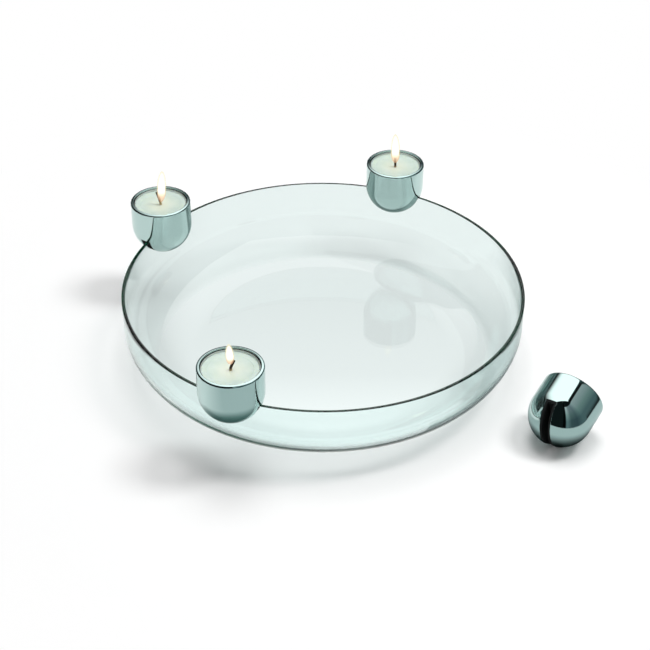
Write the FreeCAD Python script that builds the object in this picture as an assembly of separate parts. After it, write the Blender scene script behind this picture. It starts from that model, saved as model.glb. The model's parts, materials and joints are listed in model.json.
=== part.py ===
"""Glass bowl with chromed tealight holders that hang astride its rim.

All lengths are millimetres. The origin is the centre of the bowl's flat base,
+Z is up, and the camera side of the photograph is -Y.
"""
import FreeCAD, Part
import math
import os

Vec = FreeCAD.Vector
Rot = FreeCAD.Rotation
Z_AXIS = Vec(0, 0, 1)
Y_AXIS = Vec(0, 1, 0)
CENTRE = Vec(0, 0, 0)

os.makedirs("parts", exist_ok=True)

# Driving dimensions of the bowl
RIM_RADIUS = 142.6
BOWL_HEIGHT = 58.0
WALL = 2.4
FLOOR = 3.4
BASE_RADIUS = 90.0
RIM_ROUND_RADIUS = 0.9
UPRIGHT_BELOW_HOLDER = 4.55

# Driving dimensions of a tealight: an aluminium cup of wax
CUP_RADIUS = 19.0
CUP_HEIGHT = 16.0
CUP_SHEET = 0.35
CUP_BASE_ROUND = 1.4
CUP_BEAD_RADIUS = 0.4
WAX_BELOW_CUP = 1.5
WAX_RING = 3.65
POOL_DEPTH = 0.7

# The tin plate that holds the wick upright in the wax
SUSTAINER_RADIUS = 7.0
SUSTAINER_SHEET = 0.3
NECK_WALL = 0.6
NECK_HEIGHT = 3.2

# Driving dimensions of a holder: a round-bottomed cup with a slot below
POCKET_CLEARANCE = 0.3
CUP_SEAT_CLEARANCE = 0.2
LIP_ABOVE_CUP = 1.3
HOLDER_WALL = 2.3
HOLDER_STRAIGHT = 18.85
LIP_OUTER_RADIUS = 1.2
LIP_INNER_RADIUS = 0.4
WEB = 6.15
SLOT_MOUTH_RADIUS = 0.35

# The rubber channel glued into the slot, and the space it leaves for the glass
LINER_WALL = 1.5
LINER_RECESS = 0.35
RIM_SIDE_CLEARANCE = 0.3
RIM_SEAT_CLEARANCE = 0.25

# Where the seated holders are, in degrees from +X round to +Y
HOLDER_ANGLES = {"front": -113.9, "left": 149.8, "rear": 67.6}

# The holder that lies on the table beside the bowl, in degrees but for its stand-off
LOOSE_STANDOFF = 24.0
LOOSE_BEARING = -31.35
LOOSE_HEADING = 56.0
LOOSE_RISE = 18.6
LOOSE_SPIN = 82.5

# Wicks: the tallest one's height above the wax, each one's share of it, and how it
# leans and which way, in degrees
WICK_RADIUS = 0.95
WICK_BEND_RADIUS = 4.0
WICK_HEIGHT = 10.0
WICK_HEIGHT_SHARES = {"front": 0.69, "left": 1.0, "rear": 0.72}
WICK_LEANS = {"front": 22.0, "left": 14.5, "rear": 2.0}
WICK_HEADINGS = {"front": 0.0, "left": 180.0, "rear": 180.0}

# Flames: the tallest one's height above the wax and its belly's radius, each one's
# shares of them, and how it leans in degrees
FLAME_HEIGHT = 27.8
FLAME_RADIUS = 3.5
FLAME_BASE_SHARES = {"front": 0.147, "left": 0.065, "rear": 0.108}
FLAME_TOP_SHARES = {"front": 0.705, "left": 0.996, "rear": 1.0}
FLAME_RADIUS_SHARES = {"front": 0.8, "left": 0.97, "rear": 1.0}
FLAME_OFFSET_SHARES = {"front": 0.06, "left": 0.11, "rear": 0.0}
FLAME_LEANS = {"front": -3.0, "left": 5.0, "rear": -1.5}
FLAME_BELLY_SHARE = 0.4
FLAME_SHOULDER_SHARE = 0.5
FLAME_NECK_SHARE = 0.55
FLAME_NECK_HEIGHT_SHARE = 0.98

# One overrun for every cutting solid, and how edges are recognised
OVERRUN = 5.0
TOLERANCE = 0.001
EDGE_SAMPLE_SHARES = (0.01, 0.3, 0.6, 0.99)

# Derived sizes of a holder, with heights from the centre of its dome
POCKET_RADIUS = CUP_RADIUS + CUP_BEAD_RADIUS + POCKET_CLEARANCE
POCKET_DEPTH = CUP_SEAT_CLEARANCE + CUP_HEIGHT + LIP_ABOVE_CUP
HOLDER_RADIUS = POCKET_RADIUS + HOLDER_WALL
POCKET_FLOOR = HOLDER_STRAIGHT - POCKET_DEPTH
SLOT_END = POCKET_FLOOR - WEB
GAP_END = SLOT_END - LINER_WALL
RIM_LEVEL = GAP_END - RIM_SEAT_CLEARANCE

# Derived sizes of the glass where a holder sits astride it
HOLDER_BELOW_RIM = HOLDER_RADIUS + RIM_LEVEL
CORNER_HEIGHT = BOWL_HEIGHT - HOLDER_BELOW_RIM - UPRIGHT_BELOW_HOLDER
CORNER_WIDTH = RIM_RADIUS - BASE_RADIUS
RIM_INNER_RADIUS = RIM_RADIUS - WALL
RIM_NEAREST = math.sqrt(RIM_INNER_RADIUS ** 2 - HOLDER_RADIUS ** 2)
GAP = RIM_RADIUS - RIM_NEAREST + 2 * RIM_SIDE_CLEARANCE
SLOT = GAP + 2 * LINER_WALL
HOLDER_ORBIT = (RIM_RADIUS + RIM_NEAREST) / 2
DOME_HEIGHT = BOWL_HEIGHT - RIM_LEVEL
LOOSE_DISTANCE = RIM_RADIUS + LOOSE_STANDOFF + HOLDER_RADIUS

# Derived sizes of a tealight, in the holder's heights
CUP_FLOOR = POCKET_FLOOR + CUP_SEAT_CLEARANCE
CUP_TOP = CUP_FLOOR + CUP_HEIGHT
CUP_INNER_RADIUS = CUP_RADIUS - CUP_SHEET
WAX_FLOOR = CUP_FLOOR + CUP_SHEET
WAX_LEVEL = CUP_TOP - WAX_BELOW_CUP
POOL_RADIUS = CUP_INNER_RADIUS - WAX_RING
POOL_LEVEL = WAX_LEVEL - POOL_DEPTH
NECK_RADIUS = WICK_RADIUS + NECK_WALL


def line(start, end):
    """Straight edge between two (radius, height) points of a profile."""
    return Part.LineSegment(Vec(start[0], 0, start[1]), Vec(end[0], 0, end[1])).toShape()


def arc(start, middle, end):
    """Circular edge through three (radius, height) points of a profile."""
    points = [Vec(point[0], 0, point[1]) for point in (start, middle, end)]
    return Part.Arc(*points).toShape()


def quarter_round(centre, radius, first, last):
    """Circular edge about a centre, between two angles in degrees."""
    angles = [math.radians(angle) for angle in (first, (first + last) / 2, last)]
    points = [
        (centre[0] + radius * math.cos(angle), centre[1] + radius * math.sin(angle))
        for angle in angles
    ]
    return arc(*points)


def quarter_ellipse(centre, wide, high):
    """The lower outer quarter of an ellipse, from its bottom to its right side."""
    middle = Vec(centre[0], 0, centre[1])
    right = middle + Vec(wide, 0, 0)
    bottom = middle + Vec(0, 0, -high)
    major, minor = (right, bottom) if wide >= high else (bottom, right)
    ellipse = Part.Ellipse(major, minor, middle)
    first = ellipse.parameter(bottom)
    last = ellipse.parameter(right)
    turn = 2 * math.pi
    if (last - first) % turn > math.pi:
        first, last = last, first
    if last < first:
        last += turn
    return Part.ArcOfEllipse(ellipse, first, last).toShape()


def revolved(edges):
    """Solid of revolution about the Z axis from a closed chain of edges."""
    wire = Part.Wire(Part.__sortEdges__(edges))
    return Part.Face(wire).revolve(CENTRE, Z_AXIS, 360)


def upright_box(half_x, half_y, low, high):
    """Box centred on the Z axis between two heights."""
    corner = Vec(-half_x, -half_y, low)
    return Part.makeBox(2 * half_x, 2 * half_y, high - low, corner)


def make_bowl():
    """Clear glass dish: flat base, elliptical corner, upright wall, fire-polished rim."""
    outer_corner = (BASE_RADIUS, CORNER_HEIGHT)
    inner_low = (BASE_RADIUS, FLOOR)
    outer_round = (RIM_RADIUS - RIM_ROUND_RADIUS, BOWL_HEIGHT - RIM_ROUND_RADIUS)
    inner_round = (RIM_INNER_RADIUS + RIM_ROUND_RADIUS, BOWL_HEIGHT - RIM_ROUND_RADIUS)
    edges = [
        line((0, 0), (BASE_RADIUS, 0)),
        quarter_ellipse(outer_corner, CORNER_WIDTH, CORNER_HEIGHT),
        line((RIM_RADIUS, CORNER_HEIGHT), (RIM_RADIUS, outer_round[1])),
        quarter_round(outer_round, RIM_ROUND_RADIUS, 0, 90),
        line((outer_round[0], BOWL_HEIGHT), (inner_round[0], BOWL_HEIGHT)),
        quarter_round(inner_round, RIM_ROUND_RADIUS, 90, 180),
        line((RIM_INNER_RADIUS, inner_round[1]), (RIM_INNER_RADIUS, CORNER_HEIGHT)),
        quarter_ellipse(outer_corner, CORNER_WIDTH - WALL, CORNER_HEIGHT - FLOOR),
        line(inner_low, (0, FLOOR)),
        line((0, FLOOR), (0, 0)),
    ]
    return revolved(edges)


def slot_mouth_edges(cup):
    """Edges where the slot breaks out through the cup's outer surface."""
    chosen = []
    for edge in cup.Edges:
        if edge.Degenerated:
            continue
        span = edge.LastParameter - edge.FirstParameter
        points = [edge.valueAt(edge.FirstParameter + share * span) for share in EDGE_SAMPLE_SHARES]
        on_skin = all(
            min(abs(math.hypot(p.x, p.y) - HOLDER_RADIUS), abs(p.Length - HOLDER_RADIUS)) < TOLERANCE
            for p in points
        )
        on_slot = all(
            abs(abs(p.x) - SLOT / 2) < TOLERANCE or abs(p.z - SLOT_END) < TOLERANCE for p in points
        )
        if on_skin and on_slot:
            chosen.append(edge)
    return chosen


def make_holder():
    """Chromed cup about its dome's centre: tealight pocket above, open slot below."""
    lip_out = (HOLDER_RADIUS - LIP_OUTER_RADIUS, HOLDER_STRAIGHT - LIP_OUTER_RADIUS)
    lip_in = (POCKET_RADIUS + LIP_INNER_RADIUS, HOLDER_STRAIGHT - LIP_INNER_RADIUS)
    edges = [
        quarter_round((0, 0), HOLDER_RADIUS, -90, 0),
        line((HOLDER_RADIUS, 0), (HOLDER_RADIUS, lip_out[1])),
        quarter_round(lip_out, LIP_OUTER_RADIUS, 0, 90),
        line((lip_out[0], HOLDER_STRAIGHT), (lip_in[0], HOLDER_STRAIGHT)),
        quarter_round(lip_in, LIP_INNER_RADIUS, 90, 180),
        line((POCKET_RADIUS, lip_in[1]), (POCKET_RADIUS, POCKET_FLOOR)),
        line((POCKET_RADIUS, POCKET_FLOOR), (0, POCKET_FLOOR)),
        line((0, POCKET_FLOOR), (0, -HOLDER_RADIUS)),
    ]
    reach = HOLDER_RADIUS + OVERRUN
    slot = upright_box(SLOT / 2, reach, -reach, SLOT_END)
    cup = revolved(edges).cut(slot)
    return cup.makeFillet(SLOT_MOUTH_RADIUS, slot_mouth_edges(cup))


def make_liner():
    """Black rubber channel that lines the slot and grips the glass rim."""
    reach = HOLDER_RADIUS + OVERRUN
    channel = upright_box(SLOT / 2, reach, -reach, SLOT_END)
    gap = upright_box(GAP / 2, reach, -reach, GAP_END)
    trim = Part.makeSphere(HOLDER_RADIUS - LINER_RECESS)
    return channel.cut(gap).common(trim)


def make_cup():
    """Pressed aluminium cup with a rolled top edge."""
    base_out = (CUP_RADIUS - CUP_BASE_ROUND, CUP_FLOOR + CUP_BASE_ROUND)
    inner_round = CUP_BASE_ROUND - CUP_SHEET
    bead_height = CUP_TOP - CUP_BEAD_RADIUS
    edges = [
        line((0, CUP_FLOOR), (base_out[0], CUP_FLOOR)),
        quarter_round(base_out, CUP_BASE_ROUND, -90, 0),
        line((CUP_RADIUS, base_out[1]), (CUP_RADIUS, bead_height)),
        line((CUP_RADIUS, bead_height), (CUP_INNER_RADIUS, bead_height)),
        line((CUP_INNER_RADIUS, bead_height), (CUP_INNER_RADIUS, base_out[1])),
        quarter_round(base_out, inner_round, -90, 0),
        line((base_out[0], WAX_FLOOR), (0, WAX_FLOOR)),
        line((0, WAX_FLOOR), (0, CUP_FLOOR)),
    ]
    bead = Part.makeTorus(CUP_RADIUS, CUP_BEAD_RADIUS, Vec(0, 0, bead_height), Z_AXIS)
    return revolved(edges).fuse(bead).removeSplitter()


def wick_hole():
    """The straight way that the wick takes from the cup's floor up through the wax."""
    return Part.makeCylinder(WICK_RADIUS, CUP_HEIGHT + OVERRUN, Vec(0, 0, WAX_FLOOR))


def make_sustainer():
    """Tin disc on the cup's floor, with the crimped neck that grips the wick."""
    plate = Part.makeCylinder(SUSTAINER_RADIUS, SUSTAINER_SHEET, Vec(0, 0, WAX_FLOOR))
    neck = Part.makeCylinder(NECK_RADIUS, NECK_HEIGHT, Vec(0, 0, WAX_FLOOR))
    return plate.fuse(neck).cut(wick_hole()).removeSplitter()


def make_wick(place):
    """Braided wick from the cup's floor through the wax, bending over above it."""
    angle = math.radians(WICK_LEANS[place])
    height = WICK_HEIGHT * WICK_HEIGHT_SHARES[place]
    start = Vec(0, 0, WAX_FLOOR)
    bend_start = Vec(0, 0, POOL_LEVEL + WICK_RADIUS)
    reach = WICK_BEND_RADIUS
    middle = bend_start + Vec(reach * (1 - math.cos(angle / 2)), 0, reach * math.sin(angle / 2))
    bend_end = bend_start + Vec(reach * (1 - math.cos(angle)), 0, reach * math.sin(angle))
    rest = (WAX_LEVEL + height - bend_end.z) / math.cos(angle)
    tip = bend_end + Vec(rest * math.sin(angle), 0, rest * math.cos(angle))
    path = Part.Wire([
        Part.LineSegment(start, bend_start).toShape(),
        Part.Arc(bend_start, middle, bend_end).toShape(),
        Part.LineSegment(bend_end, tip).toShape(),
    ])
    section = Part.Wire(Part.makeCircle(WICK_RADIUS, start, Z_AXIS))
    wick = path.makePipeShell([section], True, False)
    wick.rotate(CENTRE, Z_AXIS, WICK_HEADINGS[place])
    return wick


def make_wax(sustainer):
    """Wax fill, dished where it has melted, moulded round the plate and the wick."""
    base_out = (CUP_RADIUS - CUP_BASE_ROUND, CUP_FLOOR + CUP_BASE_ROUND)
    edges = [
        line((0, WAX_FLOOR), (base_out[0], WAX_FLOOR)),
        quarter_round(base_out, CUP_BASE_ROUND - CUP_SHEET, -90, 0),
        line((CUP_INNER_RADIUS, base_out[1]), (CUP_INNER_RADIUS, WAX_LEVEL)),
        line((CUP_INNER_RADIUS, WAX_LEVEL), (POOL_RADIUS, WAX_LEVEL)),
        quarter_ellipse((0, WAX_LEVEL), POOL_RADIUS, POOL_DEPTH),
        line((0, POOL_LEVEL), (0, WAX_FLOOR)),
    ]
    return revolved(edges).cut(sustainer).cut(wick_hole())


def make_flame(place, wick):
    """Teardrop of burning vapour round the wick's end, pointed at the top."""
    base = WAX_LEVEL + FLAME_HEIGHT * FLAME_BASE_SHARES[place]
    top = WAX_LEVEL + FLAME_HEIGHT * FLAME_TOP_SHARES[place]
    radius = FLAME_RADIUS * FLAME_RADIUS_SHARES[place]
    length = top - base
    belly = base + FLAME_BELLY_SHARE * length
    shoulder = Vec(radius, 0, belly + FLAME_SHOULDER_SHARE * (top - belly))
    neck = Vec(FLAME_NECK_SHARE * radius, 0, belly + FLAME_NECK_HEIGHT_SHARE * (top - belly))
    taper = Part.BezierCurve()
    taper.setPoles([Vec(radius, 0, belly), shoulder, neck, Vec(0, 0, top)])
    edges = [
        quarter_ellipse((0, belly), radius, belly - base),
        taper.toShape(),
        line((0, top), (0, base)),
    ]
    flame = revolved(edges)
    flame.rotate(Vec(0, 0, base), Y_AXIS, FLAME_LEANS[place])
    flame.translate(Vec(FLAME_RADIUS * FLAME_OFFSET_SHARES[place], 0, 0))
    return flame.cut(wick)


def astride_rim(shape, angle):
    """Copy of a holder piece, moved to its place on the rim with its slot along the rim."""
    placed = shape.copy()
    placed.translate(Vec(HOLDER_ORBIT, 0, DOME_HEIGHT))
    placed.rotate(CENTRE, Z_AXIS, angle)
    return placed


def above_rim(shape, angle):
    """Copy of a tealight piece, moved over a holder but kept facing the same way."""
    place = Rot(Z_AXIS, angle).multVec(Vec(HOLDER_ORBIT, 0, 0))
    placed = shape.copy()
    placed.translate(place + Vec(0, 0, DOME_HEIGHT))
    return placed


def on_table(shape):
    """Copy of a holder piece, laid on the table with its mouth facing away."""
    placed = shape.copy()
    placed.rotate(CENTRE, Z_AXIS, LOOSE_SPIN)
    placed.rotate(CENTRE, Y_AXIS, 90 - LOOSE_RISE)
    placed.rotate(CENTRE, Z_AXIS, LOOSE_HEADING)
    placed.translate(Rot(Z_AXIS, LOOSE_BEARING).multVec(Vec(LOOSE_DISTANCE, 0, HOLDER_RADIUS)))
    return placed


def save(shape, node):
    """Write one node, after checking that it is a single sound solid."""
    solid = shape.Solids[0] if len(shape.Solids) == 1 else None
    if solid is None or not solid.isValid():
        raise RuntimeError(f"{node} is not one valid solid: {len(shape.Solids)} solids")
    solid.exportStep(f"parts/{node}.step")
    box = solid.optimalBoundingBox()
    print(f"{node}: volume {solid.Volume:.1f} mm3, z {box.ZMin:.2f} to {box.ZMax:.2f} mm")


def main():
    save(make_bowl(), "bowl")
    holder = make_holder()
    liner = make_liner()
    cup = make_cup()
    sustainer = make_sustainer()
    wax = make_wax(sustainer)
    for place, angle in HOLDER_ANGLES.items():
        wick = make_wick(place)
        save(astride_rim(holder, angle), f"holder_{place}")
        save(astride_rim(liner, angle), f"slot_liner_{place}")
        save(above_rim(cup, angle), f"tealight_cup_{place}")
        save(above_rim(sustainer, angle), f"wick_sustainer_{place}")
        save(above_rim(wax, angle), f"wax_{place}")
        save(above_rim(wick, angle), f"wick_{place}")
        save(above_rim(make_flame(place, wick), angle), f"flame_{place}")
    save(on_table(holder), "holder_loose")
    save(on_table(liner), "slot_liner_loose")
    print(f"slot {SLOT:.2f} mm wide in the metal, {GAP:.2f} mm inside its liner")
    print(f"holder axes {HOLDER_ORBIT:.2f} mm from the bowl's axis")


main()
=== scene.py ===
# %% [markdown]
# # A glass bowl with chromed tealight holders
#
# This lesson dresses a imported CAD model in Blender. The object is a clear glass bowl 285 mm
# across. Round-bottomed chrome holders stand astride its rim, each with a lit tealight, and a
# spare holder lies on the table beside it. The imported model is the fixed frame: every piece
# made here goes where the CAD says, in metres, and rides on the body it belongs to.

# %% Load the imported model
import json
import math

import bmesh
import bpy
import numpy as np
from mathutils import Matrix, Vector


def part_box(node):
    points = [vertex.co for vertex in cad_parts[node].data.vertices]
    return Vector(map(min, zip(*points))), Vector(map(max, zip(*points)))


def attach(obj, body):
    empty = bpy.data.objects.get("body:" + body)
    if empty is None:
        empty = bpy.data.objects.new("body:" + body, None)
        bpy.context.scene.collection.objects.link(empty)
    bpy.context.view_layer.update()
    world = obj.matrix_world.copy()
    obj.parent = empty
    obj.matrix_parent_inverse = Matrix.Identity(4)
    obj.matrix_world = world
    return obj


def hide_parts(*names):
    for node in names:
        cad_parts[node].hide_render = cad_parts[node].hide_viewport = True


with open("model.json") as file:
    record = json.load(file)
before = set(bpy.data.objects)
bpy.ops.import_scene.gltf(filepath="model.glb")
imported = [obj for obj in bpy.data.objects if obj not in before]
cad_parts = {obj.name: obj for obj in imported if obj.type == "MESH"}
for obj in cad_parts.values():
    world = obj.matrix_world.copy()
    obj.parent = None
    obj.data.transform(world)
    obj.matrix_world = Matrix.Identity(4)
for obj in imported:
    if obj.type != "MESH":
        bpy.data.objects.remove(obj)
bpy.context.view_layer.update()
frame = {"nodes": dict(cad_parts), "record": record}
MM = 0.001
PLACES = ("front", "left", "rear")

# %% [markdown]
# ## The camera
#
# The photograph was matched to the bowl's rim and to the holders' outlines, which gave the
# place, aim and lens below. The aim is three plain turns: how far the camera looks down, how
# far it is turned to the left, and how far it is tilted about its own line of sight. Light
# that gets into the glass wall runs on inside it and bounces many times before it comes out.
# Where too few bounces are allowed it ends in black, and the rim loses its green, so the
# limits on bounces are raised here too.

# %% Set the camera
CAMERA_PLACE = Vector((0.010361, -0.884514, 0.664517))
CAMERA_DIP = 35.96
CAMERA_TURN = 0.578
CAMERA_ROLL = 0.326
CAMERA_LENS = 83.58
LIGHT_BOUNCES = 64

turn = Matrix.Rotation(math.radians(CAMERA_TURN), 4, "Z")
dip = Matrix.Rotation(math.radians(90 - CAMERA_DIP), 4, "X")
roll = Matrix.Rotation(math.radians(CAMERA_ROLL), 4, "Z")
camera = bpy.data.objects.new("camera", bpy.data.cameras.new("camera"))
camera.data.lens = CAMERA_LENS
camera.matrix_world = Matrix.Translation(CAMERA_PLACE) @ turn @ dip @ roll
bpy.context.scene.collection.objects.link(camera)
bpy.context.scene.camera = camera
bpy.context.scene.view_settings.view_transform = "Standard"
for limit in ("max_bounces", "glossy_bounces", "transmission_bounces"):
    setattr(bpy.context.scene.cycles, limit, LIGHT_BOUNCES)
aim = camera.matrix_world.to_3x3() @ Vector((0, 0, -1))
print("camera looks along", [round(v, 4) for v in aim])

# %% [markdown]
# ## Building node trees
#
# Materials, the world and the Geometry Nodes trees are all made of nodes. One small helper
# adds a node, sets its options, and gives each input either a plain value or a link. The rest
# write one common node in one line each, so that a formula still reads as a formula.

# %% Helpers for nodes
def add(tree, kind, inputs=None, **options):
    """Adds a node to a tree; each input is a value, or an output socket to link."""
    made = tree.nodes.new(kind)
    for name, value in options.items():
        setattr(made, name, value)
    for name, value in (inputs or {}).items():
        socket = made.inputs[name]
        if isinstance(value, bpy.types.NodeSocket):
            tree.links.new(value, socket)
        else:
            socket.default_value = value
    return made


def maths(tree, operation, first, second=0.0, third=0.0):
    """The output of one Math node."""
    inputs = {0: first, 1: second, 2: third}
    return add(tree, "ShaderNodeMath", inputs, operation=operation).outputs[0]


def spread(tree, value, start, end, low=0.0, high=1.0, steps="LINEAR"):
    """The output of one Map Range node: from start to end, it goes from low to high."""
    return add(tree, "ShaderNodeMapRange", {
        "Value": value, "From Min": start, "From Max": end, "To Min": low, "To Max": high,
    }, interpolation_type=steps).outputs["Result"]


def blend(tree, share, first, second, **options):
    """The colour output of one Mix node."""
    inputs = {0: share, 6: first, 7: second}
    return add(tree, "ShaderNodeMix", inputs, data_type="RGBA", **options).outputs[2]


def mix_shaders(tree, share, first, second):
    """The output of one Mix Shader node."""
    return add(tree, "ShaderNodeMixShader", {0: share, 1: first, 2: second}).outputs[0]


def ramp(tree, factor, stops, smooth="LINEAR"):
    """The colour output of a Color Ramp with (position, colour) stops."""
    made = add(tree, "ShaderNodeValToRGB", {"Fac": factor})
    made.color_ramp.interpolation = smooth
    elements = made.color_ramp.elements
    while len(elements) < len(stops):
        elements.new(0.5)
    for element, (position, colour) in zip(elements, stops):
        element.position = position
        element.color = (*colour, 1.0)
    return made.outputs["Color"]


def grey(value):
    """A neutral colour."""
    return (value, value, value, 1.0)


# %% [markdown]
# ## The lamps
#
# The object stands on a white table. A wide, soft lamp hangs high over it, a little behind,
# and a smaller one hangs to its right: their shadows fall under the bowl and to its left.
# Mirrors and rays through the glass don't meet the lamps themselves, only what they light.

# %% Hang the lamps
LAMPS = {
    "main_lamp": {"place": (0.00, 0.26, 2.70), "size": (1.15, 1.75), "power": 33.0},
    "side_lamp": {"place": (1.30, -0.02, 2.37), "size": (0.60, 0.85), "power": 28.0},
}
LAMP_TARGET = Vector((0.0, 0.0, 0.03))

for name, lamp in LAMPS.items():
    light = bpy.data.lights.new(name, "AREA")
    light.shape = "RECTANGLE"
    light.size, light.size_y = lamp["size"]
    light.energy = lamp["power"]
    stand = bpy.data.objects.new(name, light)
    stand.location = Vector(lamp["place"])
    stand.rotation_euler = (LAMP_TARGET - stand.location).to_track_quat("-Z", "Y").to_euler()
    stand.visible_glossy = False
    stand.visible_transmission = False
    bpy.context.scene.collection.objects.link(stand)
    print(f"{name}: {light.energy:.0f} W, {stand.location.z:.2f} m up")

# %% [markdown]
# ## The room
#
# Chrome is a mirror, so it shows the room, and the room has to be made as well. A ramp round
# the horizon paints it: near black on the camera's side and on the left, a dull teal at the
# back, and on the right pale greys with a bright strip, which a second ramp shades by height.
# The camera doesn't see that room. It meets plain white, and through the glass a white that
# is a little dimmer. The Light Path node tells these ways of seeing apart. The loose holder
# is a case of its own: it mirrors the room through the bowl, and there the room stays dark.

# %% Tell the ways of seeing apart
ANY_DEPTH = 0.5


def looks(tree, loose_sees):
    """A share for each way of seeing; loose_sees marks what the loose holder may mirror."""
    rays = add(tree, "ShaderNodeLightPath").outputs
    first_look = maths(tree, "LESS_THAN", rays["Diffuse Depth"], ANY_DEPTH)
    after_mirror = maths(tree, "GREATER_THAN", rays["Glossy Depth"], ANY_DEPTH)
    any_through = maths(tree, "MULTIPLY", rays["Is Transmission Ray"], first_look)
    mirror_through = maths(tree, "MULTIPLY", maths(tree, "MULTIPLY", any_through, after_mirror),
                           loose_sees)
    through = maths(tree, "SUBTRACT", any_through, mirror_through)
    return {
        "mirror": maths(tree, "MULTIPLY", rays["Is Glossy Ray"], first_look),
        "mirror_through": mirror_through,
        "through": through,
        "seen": maths(tree, "MAXIMUM", rays["Is Camera Ray"], through),
    }


# %% Paint the room
ROOM_FILL = 0.30
GLASS_LEVEL = 0.88
LOOSE_LOOKS = (0.37, 0.10)
RIGHT_WALL_FROM = 0.745
ROOM_BLACK = (0.008, 0.012, 0.012)
LEFT_BLACK = (0.013, 0.0175, 0.017)
FAR_TEAL = (0.075, 0.11, 0.115)
WALL_TONES = [
    (0.15, ROOM_BLACK), (0.20, LEFT_BLACK), (0.34, LEFT_BLACK),
    (0.40, FAR_TEAL), (0.70, FAR_TEAL), (RIGHT_WALL_FROM, ROOM_BLACK),
    (0.76, (1.0, 1.0, 1.0)), (0.80, (0.95, 1.0, 1.0)), (0.86, (0.5, 0.55, 0.6)),
    (0.92, (0.62, 0.66, 0.68)), (0.955, (1.45, 1.4, 1.4)), (0.968, (1.4, 1.4, 1.4)),
    (0.975, ROOM_BLACK),
]
WALL_HEIGHTS = [
    (0.0, (0.11, 0.165, 0.173)), (0.25, (0.11, 0.17, 0.18)), (0.57, (0.22, 0.30, 0.29)),
    (0.80, (0.37, 0.42, 0.43)), (0.895, (0.44, 0.48, 0.49)), (0.91, ROOM_BLACK),
]


def background(tree, colour, strength):
    """The output of one Background node."""
    return add(tree, "ShaderNodeBackground", {"Color": colour, "Strength": strength}).outputs[0]


world = bpy.data.worlds.new("studio")
bpy.context.scene.world = world
world.use_nodes = True
tree = world.node_tree
tree.nodes.clear()
direction = add(tree, "ShaderNodeTexCoord").outputs["Generated"]
towards = add(tree, "ShaderNodeSeparateXYZ", {0: direction}).outputs
compass = maths(tree, "ARCTAN2", towards["X"], towards["Y"])
share_round = maths(tree, "MULTIPLY_ADD", compass, 0.5 / math.pi, 0.5)
walls = ramp(tree, share_round, WALL_TONES)
heights = ramp(tree, towards["Z"], WALL_HEIGHTS)
on_right = maths(tree, "GREATER_THAN", share_round, RIGHT_WALL_FROM)
painted = blend(tree, on_right, walls, blend(tree, 1.0, walls, heights, blend_type="MULTIPLY"))
look = looks(tree, maths(tree, "COMPARE", share_round, *LOOSE_LOOKS))
in_mirror = maths(tree, "MAXIMUM", look["mirror"], look["mirror_through"])
unseen = mix_shaders(tree, in_mirror, background(tree, grey(1.0), ROOM_FILL),
                     background(tree, painted, 1.0))
level = maths(tree, "MULTIPLY_ADD", look["through"], GLASS_LEVEL - 1.0, 1.0)
white = background(tree, grey(1.0), level)
add(tree, "ShaderNodeOutputWorld", {0: mix_shaders(tree, look["seen"], unseen, white)})
print("room:", len(WALL_TONES), "tones round it and", len(WALL_HEIGHTS), "up its right wall")

# %% [markdown]
# ## The table
#
# The table carries the soft shadows. Further out it turns to plain white, so that the camera
# finds no edge. Each way of seeing has its own tone, as in the photograph. Chrome mirrors the
# table darker in front than at the back, with a painted shadow under two holders, and past the
# table's edge it mirrors the room. Through the glass the table is mostly plain white, brightest
# at the front and shaded on the left.

# %% Mirrored tones of the table
MIRRORED_NEAR = (0.61, 0.68, 0.68, 1.0)
MIRRORED_FAR = (0.98, 1.0, 0.99, 1.0)
MIRRORED_ALONG = (-0.6, 0.8, 0.0)
MIRRORED_CHANGE = (-0.125, -0.01)
# Painted shadows: dark patches on the mirrored table under the loose holder and the front holder.
MIRRORED_FOOT_SHADOWS = [
    {"place": (0.1611, -0.0981, 0.0), "fades": (0.013, 0.050), "tone": (0.02, 0.03, 0.03, 1.0)},
    {"place": (-0.0570, -0.1330, 0.0), "fades": (0.024, 0.090), "tone": (0.16, 0.265, 0.25, 1.0)},
]


def own_place(tree):
    """Each point's place in its object's own metres, which no pose changes."""
    return add(tree, "ShaderNodeTexCoord").outputs["Object"]


def mirrored_tone(tree, place):
    """The table in a mirror: paler towards the back, with a painted shadow under two holders."""
    along = add(tree, "ShaderNodeVectorMath", {0: place, 1: MIRRORED_ALONG}, operation="DOT_PRODUCT")
    far = spread(tree, along.outputs["Value"], *MIRRORED_CHANGE)
    tone = blend(tree, far, MIRRORED_NEAR, MIRRORED_FAR)
    # Each patch is a painted shadow that fades out between its two distances.
    for foot in MIRRORED_FOOT_SHADOWS:
        away = add(tree, "ShaderNodeVectorMath", {0: place, 1: foot["place"]}, operation="DISTANCE")
        clear = spread(tree, away.outputs["Value"], *foot["fades"], steps="SMOOTHSTEP")
        tone = blend(tree, clear, foot["tone"], tone)
    return tone


# %% Table material
TABLE_TONE, TABLE_SHOWN = 0.80, 1.0
BACKDROP_EDGE = (0.22, 0.38)
MIRRORED_EDGE = (0.31, 0.37)
UNDER_BOWL = (0.135, 0.12)
MIRRORED_THROUGH_BOWL = (0.36, 0.42, 0.41, 1.0)
LOOSE_LOOKS_PAST = -0.03
GLASS_SHARE = 0.62
GLASS_GLOW = 1.12
GLASS_GLOW_CHANGE = (-0.03, -0.13)
LEFT_SHADE = 0.25
LEFT_SHADE_CHANGE = (-0.09, -0.16)


def new_finish(name):
    """A material with an empty tree, and the tree."""
    finish = bpy.data.materials.new(name)
    finish.use_nodes = True
    finish.node_tree.nodes.clear()
    return finish, finish.node_tree


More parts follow.
